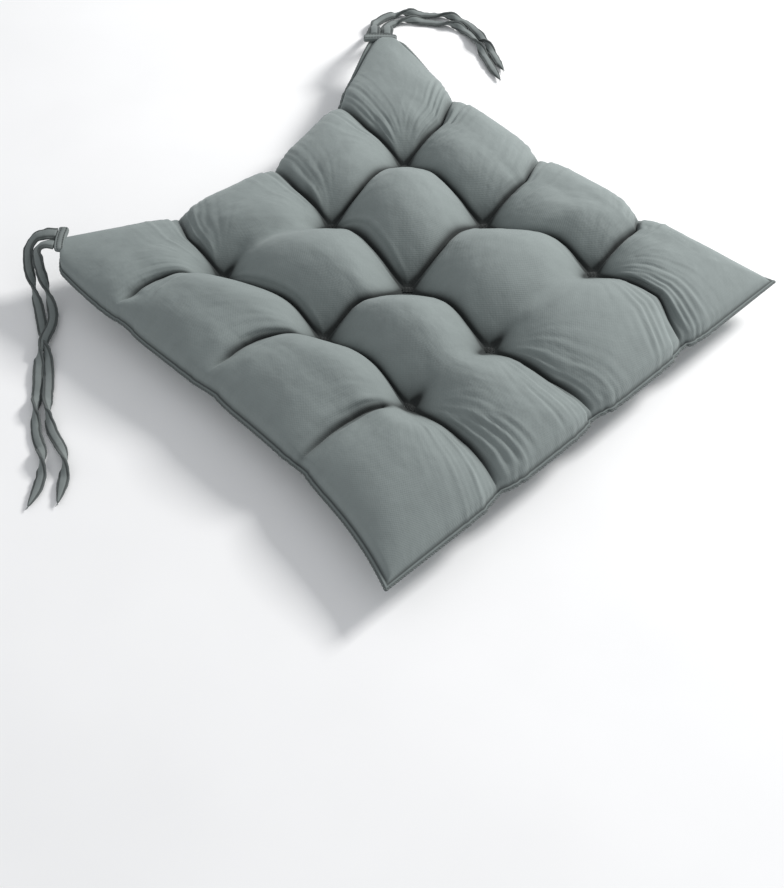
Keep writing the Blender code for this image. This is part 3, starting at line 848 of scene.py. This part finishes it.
def cell_lines(width, count, both_ends):
    """Offsets across a cell, from 0 to its width, closer together beside its creases."""
    t = np.linspace(0, 1, count + 1)
    bent = (1 - np.cos(math.pi * t)) / 2 if both_ends else 1 - np.cos(math.pi / 2 * t)
    return width * (t + bent) / 2


def fine_lines():
    """The finished grid's lines, from -1 to 1: one on each crease, and closer beside creases and seam."""
    inner = cell_lines(PITCH, INNER_LINES, True)
    outer = PITCH + cell_lines(1 - PITCH - OUTER_END / HALF_SIZE, OUTER_LINES, False)
    beside = 1 - np.array(SEAM_LINES) * MM / HALF_SIZE
    half = np.concatenate([inner, outer[1:], beside])
    return np.concatenate([-half[:0:-1], half])


def reader(coarse, lines):
    """The matrix that reads evenly spaced values at any lines, on a smooth curve through them. Past the
    ends, the values carry on straight."""
    matrix = np.zeros((len(lines), coarse + 3))
    for row, place in zip(matrix, (lines + 1) / 2 * coarse):
        j = min(int(place), coarse - 1)
        row[j : j + 4] = catmull_rom(*np.eye(4), place - j)
    matrix[:, 1] += 2 * matrix[:, 0]
    matrix[:, 2] -= matrix[:, 0]
    matrix[:, -2] += 2 * matrix[:, -1]
    matrix[:, -3] -= matrix[:, -1]
    return matrix[:, 1:-1]


def refined(grid, lines):
    """A coarse, even grid of vectors, read at the finished grid's lines."""
    matrix = reader(len(grid) - 1, lines)
    return np.stack([matrix @ grid[..., k] @ matrix.T for k in range(3)], axis=-1)


def grid_normals(grid):
    """Unit normals of a grid, pointing up where it is laid out flat."""
    return unit(np.cross(np.gradient(grid, axis=0), np.gradient(grid, axis=1)))


def seam_distance(lines):
    """How far inside the seam each grid point is."""
    gap = (1 - np.abs(lines)) * HALF_SIZE
    return np.minimum(*np.meshgrid(gap, gap, indexing="ij"))


def shape_seam(top, bottom, lines):
    """Beside the seam the panels close into a lip, with a furrow where the seam allowance inside ends."""
    near = seam_distance(lines)
    open_share = ease((near - 2.0 * MM) / (4.5 * MM))
    lip = 0.95 * np.clip(near / (0.6 * MM), 0, 1) ** 0.5
    lip = MM * (lip - 0.75 * hump(near - SEAM_FURROW, 0.8 * MM))
    middle = (top[..., 2] + bottom[..., 2]) / 2
    for face, sign in ((top, 1), (bottom, -1)):
        body = (face[..., 2] - middle) * sign
        face[..., 2] = middle + sign * np.maximum(lip, body * open_share)


def beside_line(u, v, side, line):
    """(how far beside that tuft line, how far beyond its last tuft towards that side), in millimetres."""
    across, outward = (u, v) if side in ("front", "back") else (v, u)
    out = (outward * (1 if side in ("back", "right") else -1) - PITCH) * HALF_SIZE / MM
    return (across - line * PITCH) * HALF_SIZE / MM, out


def fold_field(lines):
    """How far the folds lift the fabric, in metres, at each grid point. Each starts along its tuft line and
    turns off to run beside it, as a groove with a ridge on its outer side."""
    u, v = np.meshgrid(lines, lines, indexing="ij")
    field = np.zeros_like(u)
    for (side, line), folds in FOLDS.items():
        beside, out = beside_line(u, v, side, line)
        bend = np.exp(-np.maximum(out, 0) / FOLD_BEND)
        width = 1.1 + 1.1 * np.clip(out / 90, 0, 1)
        for offset, depth, start, end in folds:
            lean = np.sqrt(1 + (offset / FOLD_BEND * bend) ** 2)
            x = (beside - offset * (1 - bend)) / lean
            ridge = hump(x - 1.7 * np.sign(offset) * width, 1.3 * width)
            shown = ease((out - start) / 20) * ease((end - out) / 16)
            field += depth * MM * shown * (0.65 * ridge - hump(x, width))
    for kind, line, middle, offset, depth in INNER_FOLDS:
        across, along = (v, u) if kind == "row" else (u, v)
        bow = np.maximum(0, 1 - (2 * (along / PITCH - middle)) ** 2)
        x = (across - line * PITCH) * HALF_SIZE / MM - offset * np.sqrt(bow)
        ridge = hump(x - 2.6 * np.sign(offset), 2.0)
        field += depth * MM * ease(1.6 * bow) * (0.6 * ridge - hump(x, 1.4))
    return field


def stroke_field(lines):
    """Faint long strokes in the outer cells, where the fabric fans out from each tuft to the seam."""
    u, v = np.meshgrid(lines, lines, indexing="ij")
    field = np.zeros_like(u)
    for number, (side, strength) in enumerate(STROKES.items()):
        for line in (-1, 0, 1):
            beside, out = beside_line(u, v, side, line)
            spread = 1 - np.exp(-np.maximum(out, 0.5) / FOLD_BEND)
            label = beside / spread / 2.4 + 1.7 * number + 2.9 * line
            wave = np.sin(label) + 0.7 * np.sin(1.73 * label + 1.3) + 0.5 * np.sin(2.61 * label + 4.0)
            near = hump(beside, 30) * ease(np.abs(beside) / 5)
            broken = 0.75 + 0.45 * np.sin(out / 9 + 1.3 * label) * np.sin(out / 17 - 0.8 * label)
            field += strength * wave * broken * near * ease((out - 14) / 26)
    return field


def panel_piece(name, grid, lines, upward, material, painted_shade):
    """One panel as a mesh piece, facing up or down."""
    size = len(lines)
    faces = quads(np.arange(size * size).reshape(size, size), upward)
    u, v = np.meshgrid(flat_length(lines), flat_length(lines), indexing="ij")
    cloth = np.stack([u, v], axis=-1).reshape(-1, 2)
    return mesh_object(name, grid.reshape(-1, 3), faces.tolist(), material, cloth, painted_shade.ravel())


def crease_shadow(lines):
    """From 0 to 1, the painted shade in the creases, by how deep in a crease the fabric is: deepest at the
    tufts.
    """
    u, v = np.meshgrid(lines, lines, indexing="ij")
    near = np.minimum(softened(line_distance(u), u, v, "column"), softened(line_distance(v), u, v, "row"))
    tuft = np.min([np.hypot(u - c * PITCH, v - r * PITCH) * HALF_SIZE for c, r in TUFTS], axis=0)
    edge = np.clip((1 - u**8) * (1 - v**8), 0, 1) * (1 - merging(u, v, 0.84, 0.12))
    # Painted shade along the creases, and a wider pool of painted shade round each tuft.
    crease = 0.95 * edge * hump(near, 3.0 * MM) + 0.25 * edge * hump(near, 6 * MM)
    return np.clip(crease + 0.85 * hump(tuft, 11 * MM), 0, 1)


def crumple(u, v, seed):
    """Small uneven dents in the fabric, in metres, over the simulation's grid."""
    dents = np.zeros(u.shape)
    for scale, share in ((17, 1.0), (41, 0.5)):
        values = [noise.noise(Vector((a * scale, b * scale, seed))) for a, b in zip(u.flat, v.flat)]
        dents += share * np.array(values).reshape(u.shape)
    return 0.45 * MM * dents * np.maximum(0, (1 - u**6) * (1 - v**6))


def smoothed(grid, times):
    """The grid with each value averaged with its neighbours, that many times over."""
    for _ in range(times):
        padded = np.pad(grid, ((1, 1), (1, 1), (0, 0)), mode="edge")
        grid = (2 * grid + padded[:-2, 1:-1] + padded[2:, 1:-1] + padded[1:-1, :-2] + padded[1:-1, 2:]) / 6
    return grid


def build_cover(fabric):
    """The two panels. Returns (points of the upper grid, of the lower grid, grid lines)."""
    u, v, top, bottom = skin_shape(np.linspace(-1, 1, SIM_CELLS + 1))
    move_top, move_bottom = simulate(u, v, top, bottom)
    inside = (np.minimum(1 - np.abs(u), 1 - np.abs(v)) * HALF_SIZE)[..., None]
    kept = 0.1 + 0.9 * ease(inside / (30 * MM))
    move_top, move_bottom = kept * smoothed(move_top, 3), kept * smoothed(move_bottom, 3)
    move_top[..., 2] += crumple(u, v, 3.3)
    move_bottom[..., 2] += crumple(u, v, 7.9)
    lines = fine_lines()
    top, bottom = skin_shape(lines)[2:]
    top += refined(move_top, lines)
    bottom += refined(move_bottom, lines)
    folds = (fold_field(lines) + stroke_field(lines))[..., None]
    top += grid_normals(top) * folds
    bottom -= grid_normals(bottom) * folds * 0.7
    shape_seam(top, bottom, lines)
    bottom[..., 2] = np.maximum(bottom[..., 2], 0.05 * MM)
    top[..., 2] = np.maximum(top[..., 2], bottom[..., 2])
    near = seam_distance(lines)
    # Painted shade along the seam: in the furrow where the seam allowance ends, and at the seam's edge.
    furrow = 0.8 * hump(near - SEAM_FURROW, 0.9 * MM) + 0.7 * hump(near, 0.7 * MM)
    painted_shade = np.clip(crease_shadow(lines) + furrow, 0, 1)
    upper = panel_piece("cover_top", top, lines, True, fabric, painted_shade)
    lower = panel_piece("cover_bottom", bottom, lines, False, fabric, painted_shade)
    finish_piece(upper, "top_panel")
    finish_piece(lower, "bottom_panel")
    return top, bottom, lines


def build_fill(top, bottom, material):
    """The fibre inside: a closed body that stops short of the seam."""
    size = len(top)
    kept = np.arange(8, size - 8, 3)
    inside = np.ix_(kept, kept)
    upper, lower = top[inside].copy(), bottom[inside].copy()
    middle = (upper[..., 2] + lower[..., 2]) / 2
    half = (upper[..., 2] - lower[..., 2]) / 2
    padded = np.pad(half, 1, mode="edge")
    around = [padded[a : a + len(half), b : b + len(half)] for a in range(3) for b in range(3)]
    half = np.maximum(0.3 * MM, np.min(around, axis=0) - 2.5 * MM)
    half[[0, -1]] = half[:, [0, -1]] = 0
    upper[..., 2] = middle + half
    lower[..., 2] = middle - half
    index, lower_index, faces = closed_skin(len(kept) - 1)
    points = skin_points(index, lower_index, upper, lower)
    fill = mesh_object("fill", points, faces.tolist(), material, points[:, :2])
    finish_piece(fill, "fibre_fill")


# ------------ threads and strips

# The strips that the tails grow out of: half the length, depth and thickness, the stitches and the places
# of their two rows. Then the strands in a tack.
STRIP_HALF = {-1: 13 * MM, 1: 15.5 * MM}
STRIP_DEPTH = 4.0 * MM
STRIP_THICKNESS = 2.5 * MM
STRIP_STITCH = 2.6 * MM
STRIP_ROWS = (-2.4 * MM, 1.9 * MM)
STRANDS = 7


def resampled(points, spacing):
    """Points that far apart along a polyline."""
    run = lengths_along(points)
    want = np.linspace(0, run[-1], max(2, int(run[-1] / spacing)))
    return np.stack([np.interp(want, run, points[:, k]) for k in range(3)], axis=1)


def build_seam(name, border, material):
    """One run of the seam: the rolled edge with a stitch every few millimetres."""
    route = resampled(border, 0.45 * MM)
    stitch = np.abs(np.sin(math.pi * lengths_along(route) / STITCH)) ** 0.5
    seam = mesh_object(name, *joined([tube(route, (0.50 + 0.35 * stitch) * MM, 8)], material))
    finish_piece(seam, name)


def build_seams(top, lines, material):
    """The seam along each side of the cover; the back one has the closing stitch in its middle."""
    back = top[:, -1]
    first, last = np.searchsorted(lines, (-CLOSING_SPAN, CLOSING_SPAN))
    build_seam("seam_thread_left", top[0], material)
    build_seam("seam_thread_right", top[-1], material)
    build_seam("seam_thread_front", top[:, 0], material)
    build_seam("seam_thread_back_left", back[: first + 1], material)
    build_seam("closing_stitch", back[first : last + 1], material)
    build_seam("seam_thread_back_right", back[last:], material)


def tack_strands(centre, height, side, turn):
    """The strands of one tack: side by side in the middle, drawn together where they enter the pad."""
    parts = []
    t = np.linspace(-1, 1, 17)
    for k in range(STRANDS):
        share = (2 * k - (STRANDS - 1)) / (STRANDS - 1)
        across = share * 2.5 * MM * (1 - 0.62 * t**2) + 0.12 * MM * math.sin(5 * k)
        along = t * (5.6 + 0.5 * math.cos(3.1 * k)) * MM
        lift = (1.25 - 0.45 * share**2) * MM * (1 - np.abs(t) ** 2.6) - 1.8 * MM * np.abs(t) ** 7
        x = centre[0] + along * math.cos(turn) - across * math.sin(turn)
        y = centre[1] + along * math.sin(turn) + across * math.cos(turn)
        parts.append(tube(np.stack([x, y, height + side * (lift + 0.35 * MM)], axis=1), 0.5 * MM, 8))
    return parts


def build_tufts(material):
    """Each tuft is a stem through the pad with a tack at both ends, turned a little its own way."""
    rows = {1: "back", 0: "middle", -1: "front"}
    columns = {-1: "left", 0: "centre", 1: "right"}
    for (column, row), centre in TUFTS.items():
        turn = math.radians(-45 + 16 * column + 11 * row)
        stem = np.array([(*centre, z) for z in np.linspace(TUFT_BOTTOM, TUFT_TOP, 9)])
        parts = [tube(stem, 1.15 * MM, 12)]
        parts += tack_strands(centre, TUFT_TOP, 1, turn)
        parts += tack_strands(centre, TUFT_BOTTOM, -1, turn)
        name = f"tuft_thread_{rows[row]}_{columns[column]}"
        tuft = mesh_object(f"{name}_strands", *joined(parts, material))
        finish_piece(tuft, name)


def build_strip(side, name, material):
    """The folded middle of a tie along a blunt corner: two layers of tape, sewn down with two rows."""
    corner_x, corner_y = CORNERS[side, 1]
    height = SEAM_HEIGHT + EAR_LIFT[side]
    centre = np.array([corner_x - side * BLUNT_CUT / 2, corner_y - BLUNT_CUT / 2, height])
    outward = np.array([side, 1, 0]) / math.sqrt(2)
    along = np.array([1, -side, 0]) / math.sqrt(2)
    angle = np.linspace(0, 2 * math.pi, 56, endpoint=False)
    depth = STRIP_DEPTH * np.sign(np.cos(angle)) * np.abs(np.cos(angle)) ** 0.5
    thick = STRIP_THICKNESS * np.sign(np.sin(angle)) * np.abs(np.sin(angle)) ** 0.6
    furrows = sum(hump(depth - row, 0.5 * MM) for row in STRIP_ROWS)
    rings, painted_shade = [], []
    half = STRIP_HALF[side]
    runs = np.linspace(-half, half, 105)
    for s in runs:
        end = 1 - 0.45 * np.clip((abs(s) - half + 2 * MM) / (2 * MM), 0, 1) ** 2
        pulled = 0.45 + 0.55 * abs(math.cos(math.pi * s / STRIP_STITCH))
        sunk = 0.8 * MM * pulled * furrows * np.sign(thick)
        bulge = 0.5 * MM * noise.noise(Vector((s * 200, side, 1)))
        across = (depth * end + 1.2 * MM + bulge - 1.2 * MM * (s / half) ** 2)[:, None] * outward
        rings.append(centre + s * along + across + ((thick - sunk) * end)[:, None] * np.array([0, 0, 1]))
        # Painted shade in the stitch furrows, deepest where a stitch pulls them in.
        painted_shade.append(0.9 * pulled * furrows)
    points, faces = swept(rings)
    cloth = [(s, a * 3.4 * MM) for s in runs for a in angle] + [(0, 0), (0, 0)]
    painted_shade = np.clip([*np.ravel(painted_shade), 0, 0], 0, 1)
    strip = mesh_object(f"{name}_fold", points, faces, material, cloth, painted_shade)
    finish_piece(strip, name)


# ------------ the whole pad

fabric = woven_fabric("grey_brushed_weave", (0.215, 0.245, 0.240), 0.9 * MM, 0.30, 0.25)
tape_fabric = woven_fabric("grey_tape_weave", (0.190, 0.212, 0.208), 0.7 * MM, 0.45, 0.15)
# The tuft yarn is near black: partly its own dark colour, and partly painted shade for the hollows at the
# tufts.
tuft_yarn = yarn_material("tuft_yarn", (0.022, 0.026, 0.025), 2.4 * MM)
seam_yarn = yarn_material("seam_yarn", (0.120, 0.138, 0.134), 1.8 * MM)
fibre = fibre_material("white_fibre")

add_camera()
add_studio()
for seed, tie_name in enumerate(TIES):
    build_tie(tie_name, tape_fabric, 10 + seed)
top_grid, bottom_grid, grid_at = build_cover(fabric)
build_fill(top_grid, bottom_grid, fibre)
build_seams(top_grid, grid_at, seam_yarn)
build_tufts(tuft_yarn)
build_strip(-1, "tie_strip_left", tape_fabric)
build_strip(1, "tie_strip_right", tape_fabric)
